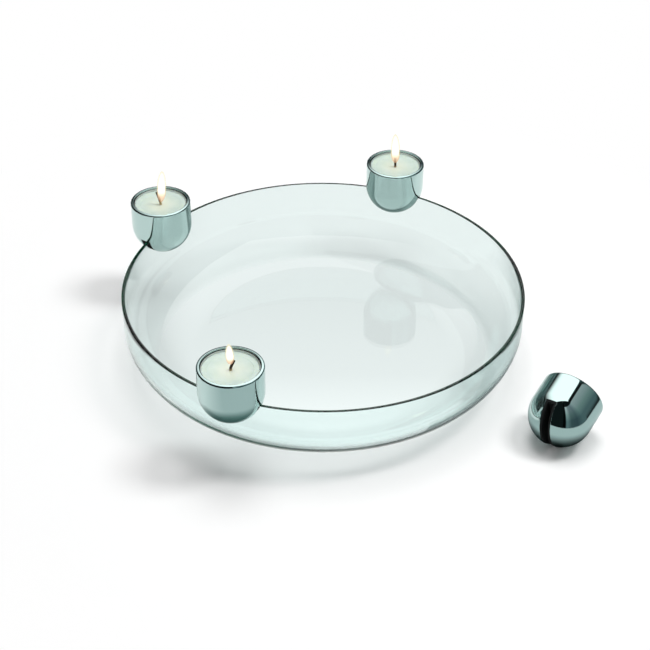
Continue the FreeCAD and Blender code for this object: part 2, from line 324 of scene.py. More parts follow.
def backdrop_strength(tree, axes, through):
    """1, but through the glass brighter at the front and shaded on the left."""
    nearness = spread(tree, axes["Y"], *GLASS_GLOW_CHANGE, GLASS_LEVEL - 1.0, GLASS_GLOW - 1.0)
    shade = spread(tree, axes["X"], *LEFT_SHADE_CHANGE, 0.0, -LEFT_SHADE, "SMOOTHSTEP")
    return maths(tree, "MULTIPLY_ADD", maths(tree, "ADD", nearness, shade), through, 1.0)


def table_finish():
    """Matt white with a tone for each way of seeing, and plain white as a backdrop."""
    finish, tree = new_finish("white_table")
    place = own_place(tree)
    axes = add(tree, "ShaderNodeSeparateXYZ", {0: place}).outputs
    distance = add(tree, "ShaderNodeVectorMath", {0: place}, operation="LENGTH").outputs["Value"]
    incoming = add(tree, "ShaderNodeNewGeometry").outputs["Incoming"]
    came_from = add(tree, "ShaderNodeSeparateXYZ", {0: incoming}).outputs
    past_line = maths(tree, "GREATER_THAN", maths(tree, "ADD", axes["X"], axes["Y"]), LOOSE_LOOKS_PAST)
    from_front = maths(tree, "LESS_THAN", came_from["Y"], 0.0)
    look = looks(tree, maths(tree, "MULTIPLY", from_front, past_line))
    tone = blend(tree, look["seen"], grey(TABLE_TONE), grey(TABLE_SHOWN))
    tone = blend(tree, look["mirror"], tone, mirrored_tone(tree, place))
    tone = blend(tree, look["mirror_through"], tone, MIRRORED_THROUGH_BOWL)
    matt = add(tree, "ShaderNodeBsdfDiffuse", {"Color": tone}).outputs[0]
    backdrop = add(tree, "ShaderNodeEmission", {
        "Color": grey(1.0), "Strength": backdrop_strength(tree, axes, look["through"])}).outputs[0]
    in_backdrop = spread(tree, distance, *BACKDROP_EDGE, steps="SMOOTHSTEP")
    plain = maths(tree, "MULTIPLY", in_backdrop, look["seen"])
    # In mirrors, the table under the bowl is plain white: painted light that takes the place of the
    # bowl's shadow there.
    for share, way in ((GLASS_SHARE, "through"), (spread(tree, distance, *UNDER_BOWL), "mirror")):
        plain = maths(tree, "MAXIMUM", plain, maths(tree, "MULTIPLY", look[way], share))
    lit = mix_shaders(tree, plain, matt, backdrop)
    past_edge = maths(tree, "MULTIPLY", spread(tree, distance, *MIRRORED_EDGE), look["mirror"])
    gone = add(tree, "ShaderNodeBsdfTransparent").outputs[0]
    add(tree, "ShaderNodeOutputMaterial", {0: mix_shaders(tree, past_edge, lit, gone)})
    return finish


# %% Lay the table
TABLE_LEVEL = -0.2 * MM
TABLE_REACH = 4.0


def flat_stage(name, low, high, level, finish):
    """A flat rectangle between two (x, y) corners that isn't part of the object."""
    corners = [(low[0], low[1]), (high[0], low[1]), (high[0], high[1]), (low[0], high[1])]
    mesh = bpy.data.meshes.new(name)
    mesh.from_pydata([(x, y, level) for x, y in corners], [], [(0, 1, 2, 3)])
    mesh.materials.append(finish)
    piece = bpy.data.objects.new(name, mesh)
    bpy.context.scene.collection.objects.link(piece)
    return piece


flat_stage("table", (-TABLE_REACH,) * 2, (TABLE_REACH,) * 2, TABLE_LEVEL, table_finish())
print("table: stage,", 2 * TABLE_REACH, "m wide")

# %% [markdown]
# ## The panel
#
# A broad white panel over the table makes the bright bands on the metal. It fades out to the
# left and at the far end, which gives the bands a soft side, as a stretched cloth with a lamp
# behind it does. Only mirrors meet it, and it throws no shadow.

# %% Hang the white panel
PANEL_LEVEL = 0.55
PANEL_LOW = (-0.56, -0.13)
PANEL_HIGH = (0.32, 1.10)
PANEL_FADES = {"X": (-0.56, -0.06), "Y": (1.05, 0.42)}
PANEL_GLOW = 1.8


def panel_finish():
    """White, fading out to the left and at the far end."""
    finish, tree = new_finish("white_panel")
    axes = add(tree, "ShaderNodeSeparateXYZ", {0: own_place(tree)}).outputs
    fades = [spread(tree, axes[axis], *ends, steps="SMOOTHSTEP") for axis, ends in PANEL_FADES.items()]
    strength = maths(tree, "MULTIPLY", maths(tree, "MULTIPLY", *fades), PANEL_GLOW)
    glow = add(tree, "ShaderNodeEmission", {"Color": grey(1.0), "Strength": strength})
    add(tree, "ShaderNodeOutputMaterial", {0: glow.outputs[0]})
    return finish


panel = flat_stage("panel", PANEL_LOW, PANEL_HIGH, PANEL_LEVEL, panel_finish())
for ray in ("camera", "diffuse", "transmission", "shadow"):
    setattr(panel, f"visible_{ray}", False)
print("panel: stage,", PANEL_LEVEL, "m up")

# %% [markdown]
# ## A lathe made of Geometry Nodes
#
# The bowl, the holders, the aluminium cups, the wax and the flames are all round, so one rule
# makes them: take a profile, a chain of points at a radius and a height, and turn it about Z.
# The tree below lays out a grid with one column of points for each step round, looks up the
# profile's point for each row, and swings it to its angle. The same tree can flute a wall,
# which the aluminium cups need: the flutes grow over the first quarter of their height and
# die out over the upper half. Every size is an input with a name.

# %% Build the lathe
SEAM = 0.00001 * MM
FLUTES_GROWN_SHARE = 0.25
FLUTES_FADE_SHARE = 0.5


def inputs_of(tree, named):
    """Declares a tree's inputs as (name, kind) pairs, and returns its Group Input outputs."""
    for name, kind in named:
        tree.interface.new_socket(name, in_out="INPUT", socket_type=kind)
    return tree.nodes.new("NodeGroupInput").outputs


def end_tree(tree, geometry, finish):
    """Shades a tree's result smooth, makes instances real, sets the finish, and hands it out."""
    smooth = add(tree, "GeometryNodeSetShadeSmooth", {"Geometry": geometry}).outputs[0]
    real = add(tree, "GeometryNodeRealizeInstances", {"Geometry": smooth}).outputs[0]
    done = add(tree, "GeometryNodeSetMaterial", {"Geometry": real, "Material": finish})
    add(tree, "NodeGroupOutput", {0: done.outputs[0]})


def lathe_tree():
    """Turns the profile in the object's own mesh about Z."""
    tree = bpy.data.node_groups.new("lathe", "GeometryNodeTree")
    given = inputs_of(tree, [
        ("Profile", "NodeSocketGeometry"), ("Steps", "NodeSocketInt"), ("Finish", "NodeSocketMaterial"),
        ("Flutes", "NodeSocketInt"), ("Flute depth", "NodeSocketFloat"),
        ("Flute low", "NodeSocketFloat"), ("Flute high", "NodeSocketFloat"),
    ])
    tree.interface.new_socket("Turned", in_out="OUTPUT", socket_type="NodeSocketGeometry")
    rows = add(tree, "GeometryNodeAttributeDomainSize", {0: given["Profile"]}).outputs["Point Count"]
    columns = maths(tree, "ADD", given["Steps"], 1.0)
    grid = add(tree, "GeometryNodeMeshGrid", {"Vertices X": columns, "Vertices Y": rows}).outputs[0]
    index = add(tree, "GeometryNodeInputIndex").outputs[0]
    column = maths(tree, "FLOOR", maths(tree, "DIVIDE", index, rows))
    row = maths(tree, "MODULO", index, rows)
    profile = add(tree, "GeometryNodeSampleIndex", {
        "Geometry": given["Profile"],
        "Value": add(tree, "GeometryNodeInputPosition").outputs[0],
        "Index": row,
    }, data_type="FLOAT_VECTOR", domain="POINT").outputs["Value"]
    point = add(tree, "ShaderNodeSeparateXYZ", {0: profile}).outputs
    around = maths(tree, "DIVIDE", column, given["Steps"])
    angle = maths(tree, "MULTIPLY", around, 2 * math.pi)
    wave = maths(tree, "COSINE", maths(tree, "MULTIPLY", angle, given["Flutes"]))
    grown, fade = [
        maths(tree, "MULTIPLY_ADD", given["Flute high"], share,
              maths(tree, "MULTIPLY", given["Flute low"], 1.0 - share))
        for share in (FLUTES_GROWN_SHARE, FLUTES_FADE_SHARE)
    ]
    rise = spread(tree, point["Z"], given["Flute low"], grown, steps="SMOOTHSTEP")
    fall = spread(tree, point["Z"], fade, given["Flute high"], 1.0, 0.0, "SMOOTHSTEP")
    depth = maths(tree, "MULTIPLY", maths(tree, "MULTIPLY", rise, fall), given["Flute depth"])
    radius = maths(tree, "MULTIPLY_ADD", depth, wave, point["X"])
    swung = add(tree, "ShaderNodeCombineXYZ", {
        "X": maths(tree, "MULTIPLY", radius, maths(tree, "COSINE", angle)),
        "Y": maths(tree, "MULTIPLY", radius, maths(tree, "SINE", angle)),
        "Z": point["Z"],
    }).outputs[0]
    swept = add(tree, "GeometryNodeSetPosition", {"Geometry": grid, "Position": swung}).outputs[0]
    map_place = add(tree, "ShaderNodeCombineXYZ", {"X": around, "Y": maths(tree, "DIVIDE", row, rows)})
    on_points = add(tree, "GeometryNodeFieldOnDomain", {"Value": map_place.outputs[0]},
                    data_type="FLOAT_VECTOR", domain="POINT").outputs["Value"]
    mapped = add(tree, "GeometryNodeStoreNamedAttribute", {
        "Geometry": swept, "Name": "UVMap", "Value": on_points,
    }, data_type="FLOAT2", domain="CORNER").outputs[0]
    closed = add(tree, "GeometryNodeMergeByDistance", {"Geometry": mapped, "Distance": SEAM}).outputs[0]
    end_tree(tree, closed, given["Finish"])
    return tree


LATHE = lathe_tree()
print("lathe tree:", len(LATHE.nodes), "nodes")


# %% Helpers that run a tree and keep a plain mesh
CREASE = 35


def run_tree(tree, name, points, settings):
    """Runs a tree on a chain of points and returns the result as a plain mesh."""
    chain = bpy.data.meshes.new(name)
    chain.from_pydata(points, [(i, i + 1) for i in range(len(points) - 1)], [])
    worker = bpy.data.objects.new(name, chain)
    bpy.context.scene.collection.objects.link(worker)
    modifier = worker.modifiers.new("made", "NODES")
    modifier.node_group = tree
    sockets = {item.name: item.identifier for item in tree.interface.items_tree}
    for key, value in settings.items():
        modifier[sockets[key]] = value
    bpy.context.view_layer.update()
    evaluated = worker.evaluated_get(bpy.context.evaluated_depsgraph_get())
    mesh = bpy.data.meshes.new_from_object(evaluated)
    bpy.data.objects.remove(worker)
    bpy.data.meshes.remove(chain)
    mesh.set_sharp_from_angle(angle=math.radians(CREASE))
    return mesh


def turned(name, profile, finish, steps, **flutes):
    """A shape turned on the lathe from (radius, height) points."""
    settings = {"Steps": steps, "Finish": finish}
    settings |= {key.replace("_", " ").capitalize(): value for key, value in flutes.items()}
    return run_tree(LATHE, name, [(radius, 0.0, height) for radius, height in profile], settings)


def keep(name, mesh, body, node):
    """Makes the finished piece: at the origin, riding on its body, in place of its CAD node."""
    mesh.name = name
    piece = bpy.data.objects.new(name, mesh)
    bpy.context.scene.collection.objects.link(piece)
    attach(piece, body)
    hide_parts(node)
    mesh.calc_loop_triangles()
    print(f"{name}: {len(mesh.loop_triangles)} triangles on {body}")


# %% [markdown]
# ## Drawing profiles
#
# A profile is a chain of straight stretches and arcs. Three small functions draw them. Each
# takes the number of steps that the curve is cut into: many where a bright edge or a mirror
# would show the facets, and few where nothing does.

# %% Helpers that draw a profile
def round_points(centre, radius, first, last, count):
    """Points on a circle about a (radius, height) centre, between two angles in degrees."""
    angles = [math.radians(first + (last - first) * i / count) for i in range(count + 1)]
    return [(centre[0] + radius * math.cos(a), centre[1] + radius * math.sin(a)) for a in angles]


def oval_points(centre, wide, high, first, last, count):
    """Points on an ellipse about a centre, between two angles in degrees."""
    circle = round_points((0.0, 0.0), 1.0, first, last, count)
    return [(centre[0] + wide * x, centre[1] + high * y) for x, y in circle]


def straight(start, end, count):
    """Points between two places, the first left out."""
    return [
        (start[0] + (end[0] - start[0]) * i / count, start[1] + (end[1] - start[1]) * i / count)
        for i in range(1, count + 1)
    ]


# %% [markdown]
# ## The glass
#
# The bowl is soda-lime glass with a faint green cast. Absorption in its depth does more than
# a tint on its skin: where light runs along the wall, as at the rim, it crosses more glass
# and comes out darker and greener. Shadow rays can't bend, so for them the glass is a pale
# filter, weaker where light meets it square on and stronger at a glancing angle. Very long,
# faint waves in the skin keep its reflections from being too perfect.

# %% Glass material
GLASS_TINT = (0.92, 0.985, 0.98, 1.0)
GLASS_BEND = 1.5
GLASS_DEPTH_TINT = (0.25, 0.58, 0.48, 1.0)
GLASS_DEPTH_DENSITY = 18.0
GLASS_WAVE_SCALE = 9.0
GLASS_WAVE_DEPTH = 0.02 * MM
GLASS_SHADOW_FACING = 0.35
GLASS_SHADOW_TONES = [
    (0.0, (0.97, 0.98, 0.98)), (0.35, (0.89, 0.91, 0.91)),
    (0.65, (0.58, 0.61, 0.61)), (1.0, (0.12, 0.14, 0.14)),
]


def noise(tree, place, scale, detail):
    """The grey output of one Noise Texture."""
    inputs = {"Vector": place, "Scale": scale, "Detail": detail}
    return add(tree, "ShaderNodeTexNoise", inputs).outputs["Fac"]


def bumped(tree, height, strength, distance):
    """The normal output of one Bump node."""
    inputs = {"Height": height, "Strength": strength, "Distance": distance}
    return add(tree, "ShaderNodeBump", inputs).outputs[0]


def glass_finish():
    """Clear glass, green in its depth, and a pale filter for shadow rays."""
    finish, tree = new_finish("clear_glass")
    waves = noise(tree, own_place(tree), GLASS_WAVE_SCALE, detail=1.0)
    glass = add(tree, "ShaderNodeBsdfPrincipled", {
        "Base Color": GLASS_TINT,
        "Roughness": 0.0,
        "IOR": GLASS_BEND,
        "Transmission Weight": 1.0,
        "Normal": bumped(tree, waves, strength=0.5, distance=GLASS_WAVE_DEPTH),
    })
    glancing = add(tree, "ShaderNodeLayerWeight", {"Blend": GLASS_SHADOW_FACING}).outputs["Facing"]
    shade = ramp(tree, glancing, GLASS_SHADOW_TONES)
    filtered = add(tree, "ShaderNodeBsdfTransparent", {"Color": shade})
    shadow = add(tree, "ShaderNodeLightPath").outputs["Is Shadow Ray"]
    depth = add(tree, "ShaderNodeVolumeAbsorption", {
        "Color": GLASS_DEPTH_TINT, "Density": GLASS_DEPTH_DENSITY})
    add(tree, "ShaderNodeOutputMaterial", {
        "Surface": mix_shaders(tree, shadow, glass.outputs[0], filtered.outputs[0]),
        "Volume": depth.outputs[0],
    })
    return finish


GLASS = glass_finish()
print(f"clear_glass: {len(GLASS.node_tree.nodes)} nodes")

# %% Turn the bowl
bowl_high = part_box("bowl")[1]
RIM_RADIUS = bowl_high.x
BOWL_HEIGHT = bowl_high.z
WALL = 2.4 * MM
FLOOR = 3.4 * MM
BASE_RADIUS = 90.0 * MM
CORNER_HEIGHT = 38.0 * MM
RIM_ROUND = 0.9 * MM
CORNER_WIDTH = RIM_RADIUS - BASE_RADIUS
CORNER = (BASE_RADIUS, CORNER_HEIGHT)
ROUND_LEVEL = BOWL_HEIGHT - RIM_ROUND
BASE_STEPS, CORNER_STEPS, SIDE_STEPS, RIM_STEPS = 8, 48, 4, 8
MIRROR_STEPS = 256

bowl_profile = [
    (0.0, 0.0), *straight((0.0, 0.0), (BASE_RADIUS, 0.0), BASE_STEPS),
    *oval_points(CORNER, CORNER_WIDTH, CORNER_HEIGHT, -90, 0, CORNER_STEPS)[1:],
    *straight((RIM_RADIUS, CORNER_HEIGHT), (RIM_RADIUS, ROUND_LEVEL), SIDE_STEPS),
    *round_points((RIM_RADIUS - RIM_ROUND, ROUND_LEVEL), RIM_ROUND, 0, 90, RIM_STEPS)[1:],
    *round_points((RIM_RADIUS - WALL + RIM_ROUND, ROUND_LEVEL), RIM_ROUND, 90, 180, RIM_STEPS),
    *straight((RIM_RADIUS - WALL, ROUND_LEVEL), (RIM_RADIUS - WALL, CORNER_HEIGHT), SIDE_STEPS),
    *oval_points(CORNER, CORNER_WIDTH - WALL, CORNER_HEIGHT - FLOOR, 0, -90, CORNER_STEPS)[1:],
    *straight((BASE_RADIUS, FLOOR), (0.0, FLOOR), BASE_STEPS),
]
bowl_mesh = turned("glass_bowl", bowl_profile, GLASS, MIRROR_STEPS)
keep("glass_bowl", bowl_mesh, "bowl", "bowl")

# %% [markdown]
# ## The chrome
#
# Bright chrome is a mirror, with a base colour of about half and almost no roughness. What
# makes it look real is the shape under it: the plating follows faint waves in the casting,
# and fingers and cloths leave hair-fine marks that only roughen the glint.

# %% Chrome material
CHROME_TONE = (0.48, 0.62, 0.60, 1.0)
CHROME_WAVE_SCALE = 60.0
CHROME_WAVE_DEPTH = 0.006 * MM
CHROME_MARK_SCALE = 900.0
CHROME_MARKS = (0.3, 0.8)
CHROME_ROUGHNESS = (0.015, 0.05)


def one_shader(name, describe):
    """A material of one Principled shader, whose inputs come from describe(tree)."""
    finish, tree = new_finish(name)
    shader = add(tree, "ShaderNodeBsdfPrincipled", describe(tree))
    add(tree, "ShaderNodeOutputMaterial", {"Surface": shader.outputs[0]})
    print(f"{name}: {len(tree.nodes)} nodes")
    return finish


def chrome(tree):
    """A mirror with faint waves and hair-fine marks."""
    place = own_place(tree)
    waves = noise(tree, place, CHROME_WAVE_SCALE, detail=1.0)
    marks = noise(tree, place, CHROME_MARK_SCALE, detail=3.0)
    return {
        "Base Color": CHROME_TONE,
        "Metallic": 1.0,
        "Roughness": spread(tree, marks, *CHROME_MARKS, *CHROME_ROUGHNESS),
        "Normal": bumped(tree, waves, strength=0.4, distance=CHROME_WAVE_DEPTH),
    }


CHROME = one_shader("bright_chrome", chrome)

# %% [markdown]
# ## The holders
#
# A holder is one turned cup with a dome for its bottom and a slot across it. The slot's mouth
# has a small round where it breaks out through the dome. The slot's sides are square to one
# axis, so that round has the same section all the way: it can be turned too, about that axis.
# A turned cutter takes the slot and its rounds out of the cup in a single cut.

# %% Holder sizes
HOLDER_RADIUS = 22.0 * MM
POCKET_RADIUS = 19.7 * MM
HOLDER_TOP = 18.85 * MM
POCKET_FLOOR = 1.35 * MM
LIP_OUTER_RADIUS = 1.2 * MM
LIP_INNER_RADIUS = 0.4 * MM
LIP_SLOPE = 8.0
SLOT_HALF = 3.87 * MM
SLOT_END = -4.8 * MM
SLOT_MOUTH_RADIUS = 0.25 * MM
SLOT_FLARE_SHARE = 0.7
SLOT_FLARE_LEAN = 20.0
OVERRUN = 5.0 * MM

lip_inner = (POCKET_RADIUS + LIP_INNER_RADIUS, HOLDER_TOP - LIP_INNER_RADIUS)
lip_reach = HOLDER_RADIUS - LIP_OUTER_RADIUS - lip_inner[0]
LIP_DROP = lip_reach * math.tan(math.radians(LIP_SLOPE))
WALL_TOP = HOLDER_TOP - LIP_OUTER_RADIUS - LIP_DROP
lip_outer = (HOLDER_RADIUS - LIP_OUTER_RADIUS, WALL_TOP)
cup_profile = [
    *round_points((0.0, 0.0), HOLDER_RADIUS, -90, 0, 72),
    *straight((HOLDER_RADIUS, 0.0), (HOLDER_RADIUS, WALL_TOP), 8),
    *round_points(lip_outer, LIP_OUTER_RADIUS, 0, 90 - LIP_SLOPE, 10)[1:],
    *round_points(lip_inner, LIP_INNER_RADIUS, 90 - LIP_SLOPE, 180, 8),
    *straight((POCKET_RADIUS, lip_inner[1]), (POCKET_RADIUS, POCKET_FLOOR), 6),
    *straight((POCKET_RADIUS, POCKET_FLOOR), (0.0, POCKET_FLOOR), 4),
]
print(f"holder: {2 * HOLDER_RADIUS / MM:.0f} mm across")


# %% Turn the slot's cutter
def slot_cutter():
    """The slot as a solid turned about X, kept only below the slot's end."""
    mouth_reach = SLOT_HALF + SLOT_MOUTH_RADIUS
    middle = (math.sqrt((HOLDER_RADIUS - SLOT_MOUTH_RADIUS) ** 2 - mouth_reach ** 2), mouth_reach)
    lean = math.degrees(math.atan2(middle[1], middle[0]))
    flare = round_points(middle, SLOT_MOUTH_RADIUS, -90, SLOT_FLARE_SHARE * lean, 6)
    last = flare[-1]
    flare.append((last[0] + OVERRUN * math.sin(math.radians(SLOT_FLARE_LEAN)), last[1] + OVERRUN))
    outline = [(0.0, SLOT_HALF), *flare]
    mirrored = [(radius, -reach) for radius, reach in outline]
    mesh = turned("slot_cutter", mirrored + outline[::-1], CHROME, MIRROR_STEPS)
    mesh.transform(Matrix.Rotation(math.radians(90), 4, "Y"))
    work = bmesh.new()
    work.from_mesh(mesh)
    everything = work.verts[:] + work.edges[:] + work.faces[:]
    bmesh.ops.bisect_plane(work, geom=everything, plane_co=(0, 0, SLOT_END), plane_no=(0, 0, 1),
                           clear_outer=True)
    rim = [edge for edge in work.edges if edge.is_boundary]
    bmesh.ops.contextual_create(work, geom=rim)
    bmesh.ops.recalc_face_normals(work, faces=work.faces)
    work.to_mesh(mesh)
    work.free()
    return mesh


# %% Cut a holder
SKIN_TOLERANCE = 0.01 * MM
SAME_WAY = 0.9


def skin_normal(point):
    """The true outward direction on the dome or the upright wall, or None elsewhere."""
    reach = point.length if point.z <= 0 else math.hypot(point.x, point.y)
    if abs(reach - HOLDER_RADIUS) > SKIN_TOLERANCE or point.z > WALL_TOP:
        return None
    return point.normalized() if point.z <= 0 else Vector((point.x, point.y, 0)).normalized()


def holder_mesh():
    """The cut cup about its dome's centre, with mirror-true normals on its skin."""
    body = bpy.data.objects.new("cup", turned("cup", cup_profile, CHROME, MIRROR_STEPS))
    cutter = bpy.data.objects.new("cutter", slot_cutter())
    for thing in (body, cutter):
        bpy.context.scene.collection.objects.link(thing)
    cut = body.modifiers.new("slot", "BOOLEAN")
    cut.object = cutter
    cut.solver = "EXACT"
    bpy.context.view_layer.update()
    mesh = bpy.data.meshes.new_from_object(body.evaluated_get(bpy.context.evaluated_depsgraph_get()))
    for thing in (body, cutter):
        bpy.data.objects.remove(thing)
    mesh.materials.clear()
    mesh.materials.append(CHROME)
    mesh.polygons.foreach_set("material_index", [0] * len(mesh.polygons))
    mesh.set_sharp_from_angle(angle=math.radians(CREASE))
    normals = [corner.vector.copy() for corner in mesh.corner_normals]
    for face in mesh.polygons:
        corners = [mesh.vertices[mesh.loops[i].vertex_index].co for i in face.loop_indices]
        true = [skin_normal(point) for point in corners]
        if all(normal is not None and normal.dot(face.normal) > SAME_WAY for normal in true):
            for i, normal in zip(face.loop_indices, true):
                normals[i] = normal
    mesh.normals_split_custom_set(normals)
    return mesh


HOLDER = holder_mesh()
print("cut holder:", len(HOLDER.vertices), "points")


# %% Place the holders
def placed(mesh, matrix):
    """A copy of a mesh with its place in its points."""
    copy = mesh.copy()
    copy.transform(matrix)
    return copy


SEATS = {}
for place in PLACES:
    node = f"holder_{place}"
    low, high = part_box(node)
    middle = (low + high) / 2
    angle = math.atan2(middle.y, middle.x)
    dome = Matrix.Translation((middle.x, middle.y, high.z - HOLDER_TOP))
    SEATS[place] = dome @ Matrix.Rotation(angle, 4, "Z")
    keep(f"chrome_{node}", placed(HOLDER, SEATS[place]), node, node)
    print(f"  {place} holder at {math.degrees(angle):.1f} degrees round the rim")

# %% Place the loose holder
LOOSE_HEADING = 56.0
LOOSE_RISE = 18.6
LOOSE_SPIN = 82.5
pocket = next(mount for mount in frame["record"]["mounts"] if mount["name"] == "empty_pocket")
pocket_middle = POCKET_FLOOR + pocket["dims"]["length_mm"] * MM / 2
loose_centre = Vector(pocket["pos_m"]) - Vector(pocket["axis"]) * pocket_middle
loose_place = (
    Matrix.Translation(loose_centre)
    @ Matrix.Rotation(math.radians(LOOSE_HEADING), 4, "Z")
    @ Matrix.Rotation(math.radians(90 - LOOSE_RISE), 4, "Y")
    @ Matrix.Rotation(math.radians(LOOSE_SPIN), 4, "Z")
)
loose_mesh = placed(HOLDER, loose_place)
keep("chrome_holder_loose", loose_mesh, "holder_loose", "holder_loose")

# %% [markdown]
# ## The rubber liners
#
# The black channel in each slot is a plain moulded part, and its CAD shape is right as it
# stands. It only needs its finish: matt rubber with the fine grain of a mould.

# %% Rubber material
RUBBER_GRAIN_SCALE = 2500.0
RUBBER_GRAIN_DEPTH = 0.05 * MM
RUBBER_TONES = [(0.3, (0.006, 0.007, 0.007)), (0.75, (0.018, 0.02, 0.02))]


def rubber(tree):
    """Matt black with a fine grain."""
    grain = noise(tree, own_place(tree), RUBBER_GRAIN_SCALE, detail=4.0)
    return {
        "Base Color": ramp(tree, grain, RUBBER_TONES),
        "Roughness": 0.8,
        "Specular IOR Level": 0.2,
        "Normal": bumped(tree, grain, strength=0.4, distance=RUBBER_GRAIN_DEPTH),
    }


RUBBER = one_shader("black_rubber", rubber)


# %% Dress the liners
def dress(node, finish, slot):
    """Gives a CAD node its finish, and prints the slot that it comes from."""
    thing = frame["nodes"][node]
    thing.data.materials.clear()
    thing.data.materials.append(finish)
    print(f"{node}: dressed in {slot}")


for place in (*PLACES, "loose"):
    dress(f"slot_liner_{place}", RUBBER, "black_rubber")

# %% [markdown]
# ## The tealights
#
# A tealight is a thin aluminium cup, drawn from sheet so that its wall gathers in fine flutes,
# with a rolled edge. It is filled with wax, dished where it has melted. The cup and the wax
# come off the same lathe as the bowl, and the flutes are the lathe's own inputs.

# %% Tealight sizes
CUP_RADIUS = 19.0 * MM
CUP_SHEET = 0.35 * MM
CUP_BASE_ROUND = 1.4 * MM
CUP_BEAD_RADIUS = 0.25 * MM
CUP_BEAD_ARC = (-60, 200)
CUP_HEIGHT = 16.0 * MM
CUP_FLOOR = 1.55 * MM
CUP_TOP = CUP_FLOOR + CUP_HEIGHT
CUP_INNER_RADIUS = CUP_RADIUS - CUP_SHEET
BEAD_LEVEL = CUP_TOP - CUP_BEAD_RADIUS
FLUTES = 60
FLUTE_DEPTH = 0.12 * MM

WAX_BELOW_EDGE = 1.5 * MM
WAX_LEVEL = CUP_TOP - WAX_BELOW_EDGE
WAX_FLOOR = CUP_FLOOR + CUP_SHEET
POOL_RADIUS = CUP_INNER_RADIUS - 3.65 * MM
POOL_DEPTH = 0.7 * MM
POOL_EDGE_WIDTH = 1.0 * MM
POOL_EDGE_DROPS = (0.05 * MM, 0.1 * MM)
POOL_FLOOR = WAX_LEVEL - POOL_DEPTH
MENISCUS = 0.35 * MM
MENISCUS_WIDTH = 1.0 * MM
print(f"tealight: {2 * CUP_RADIUS / MM:.0f} mm across")

# %% Aluminium cup material
# Darker than bare aluminium: painted shade for the gap between the cup and its holder.
FOIL_TONE_WITH_GAP_SHADE = (0.62, 0.64, 0.62, 1.0)
FOIL_LINE_SCALE = 700.0
FOIL_LINE_DEPTH = 0.02 * MM
FOIL_DRAWN = (1.0, 1.0, 12.0)
FOIL_LINES = (0.3, 0.7)
FOIL_ROUGHNESS = (0.22, 0.38)


def foil(tree):
    """Aluminium darkened by painted shade, with the lines that drawing leaves round the wall."""
    drawn = add(tree, "ShaderNodeMapping", {"Vector": own_place(tree), "Scale": FOIL_DRAWN}).outputs[0]
    lines = noise(tree, drawn, FOIL_LINE_SCALE, detail=3.0)
    return {
        "Base Color": FOIL_TONE_WITH_GAP_SHADE,
        "Metallic": 1.0,
        "Roughness": spread(tree, lines, *FOIL_LINES, *FOIL_ROUGHNESS),
        "Normal": bumped(tree, lines, strength=0.25, distance=FOIL_LINE_DEPTH),
    }


FOIL = one_shader("tealight_foil", foil)

# %% Wax material
WAX_TONES = [(0.3, (0.55, 0.67, 0.60)), (0.7, (0.62, 0.73, 0.66))]
WAX_PAINTED_GLOW_TONE = (0.74, 0.79, 0.67, 1.0)
WAX_PAINTED_GLOW_SPAN = (0.6, 1.05)
WAX_CLOUD_SCALE = 160.0
WAX_CLOUD_DEPTH = 0.1 * MM
WAX_GLOW_RADIUS = (1.0, 0.9, 0.6)
WAX_GLOW_DEPTH = 2.0 * MM


def wax(tree):
    """Cloudy wax that lets some light in, with a painted glow of the flame towards the wick."""
    cloud = noise(tree, own_place(tree), WAX_CLOUD_SCALE, detail=3.0)
    cool = ramp(tree, cloud, WAX_TONES)
    unrolled = add(tree, "ShaderNodeSeparateXYZ", {0: add(tree, "ShaderNodeUVMap").outputs[0]})
    # Painted glow: the wax turns paler and warmer towards the wick, as if lit by the flame.
    lit = spread(tree, unrolled.outputs["Y"], *WAX_PAINTED_GLOW_SPAN, steps="SMOOTHSTEP")
    return {
        "Base Color": blend(tree, lit, cool, WAX_PAINTED_GLOW_TONE),
        "Roughness": 0.28,
        "Subsurface Weight": 0.35,
        "Subsurface Radius": WAX_GLOW_RADIUS,
        "Subsurface Scale": WAX_GLOW_DEPTH,
        "Normal": bumped(tree, cloud, strength=0.15, distance=WAX_CLOUD_DEPTH),
    }


WAX = one_shader("candle_wax", wax)

# %% Turn the cups and the wax
base_centre = (CUP_RADIUS - CUP_BASE_ROUND, CUP_FLOOR + CUP_BASE_ROUND)
bead_start, bead_end = BEAD_LEVEL - CUP_BEAD_RADIUS, BEAD_LEVEL - CUP_BEAD_RADIUS / 2
wax_edge = WAX_LEVEL + MENISCUS
meniscus_centre = (CUP_INNER_RADIUS - MENISCUS_WIDTH, wax_edge)
inner_round = CUP_BASE_ROUND - CUP_SHEET
cup_shell = [
    (0.0, CUP_FLOOR), *straight((0.0, CUP_FLOOR), (base_centre[0], CUP_FLOOR), 4),
    *round_points(base_centre, CUP_BASE_ROUND, -90, 0, 6)[1:],
    *straight((CUP_RADIUS, base_centre[1]), (CUP_RADIUS, bead_start), 14),
    *round_points((CUP_RADIUS, BEAD_LEVEL), CUP_BEAD_RADIUS, *CUP_BEAD_ARC, 12),
    *straight((CUP_INNER_RADIUS, bead_end), (CUP_INNER_RADIUS, base_centre[1]), 14),
    *round_points(base_centre, inner_round, 0, -90, 6)[1:],
    *straight((base_centre[0], WAX_FLOOR), (0.0, WAX_FLOOR), 4),
]
wax_body = [
    (0.0, WAX_FLOOR), (base_centre[0], WAX_FLOOR),
    *round_points(base_centre, inner_round, -90, 0, 6)[1:],
    *straight((CUP_INNER_RADIUS, base_centre[1]), (CUP_INNER_RADIUS, wax_edge), 4),
    *oval_points(meniscus_centre, MENISCUS_WIDTH, MENISCUS, 0, -90, 6)[1:],
    (POOL_RADIUS + POOL_EDGE_WIDTH, WAX_LEVEL - POOL_EDGE_DROPS[0]),
    *oval_points((0.0, WAX_LEVEL - POOL_EDGE_DROPS[1]), POOL_RADIUS, POOL_DEPTH - POOL_EDGE_DROPS[1],
                 0, -90, 16),
]
CUP_TURN_STEPS, WAX_TURN_STEPS = 360, 96
UPRIGHT = {place: Matrix.Translation(seat.translation) for place, seat in SEATS.items()}
